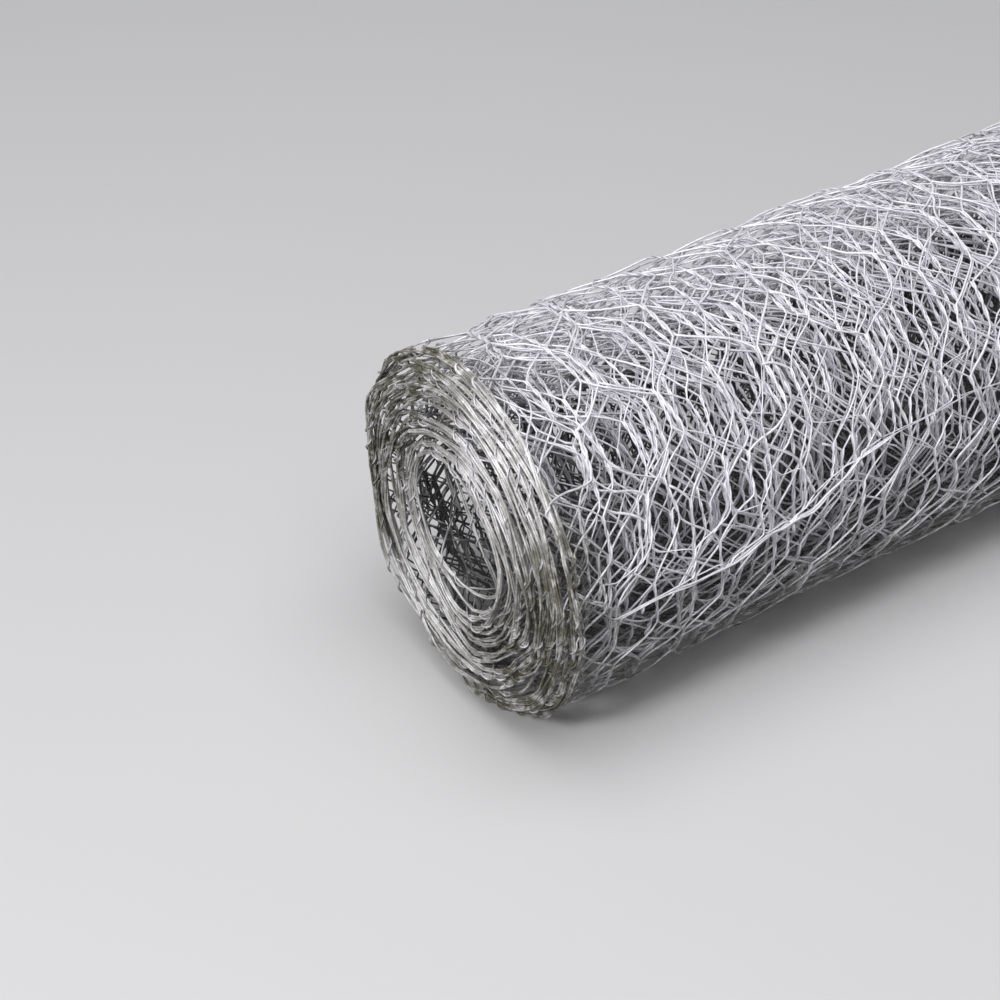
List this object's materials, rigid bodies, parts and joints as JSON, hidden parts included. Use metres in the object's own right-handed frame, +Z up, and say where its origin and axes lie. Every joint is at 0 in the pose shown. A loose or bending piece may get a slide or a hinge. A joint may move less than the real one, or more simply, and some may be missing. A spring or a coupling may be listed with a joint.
{
  "type": "roll of chicken wire",
  "caption": "Loosely wound roll of galvanised hexagonal wire netting, lying on its side with an open bore through it.",
  "frame": {"origin": "on the floor, under the middle of the roll", "axes": "+X along the roll, from the end that stands out as a low dome to the dished end; +Z up"},
  "size_m": [0.6106, 0.17, 0.17],
  "materials": {
    "galvanised_wire": "satin"
  },
  "bodies": {
    "root": {"netting_roll": "galvanised_wire"}
  },
  "joints": []
}
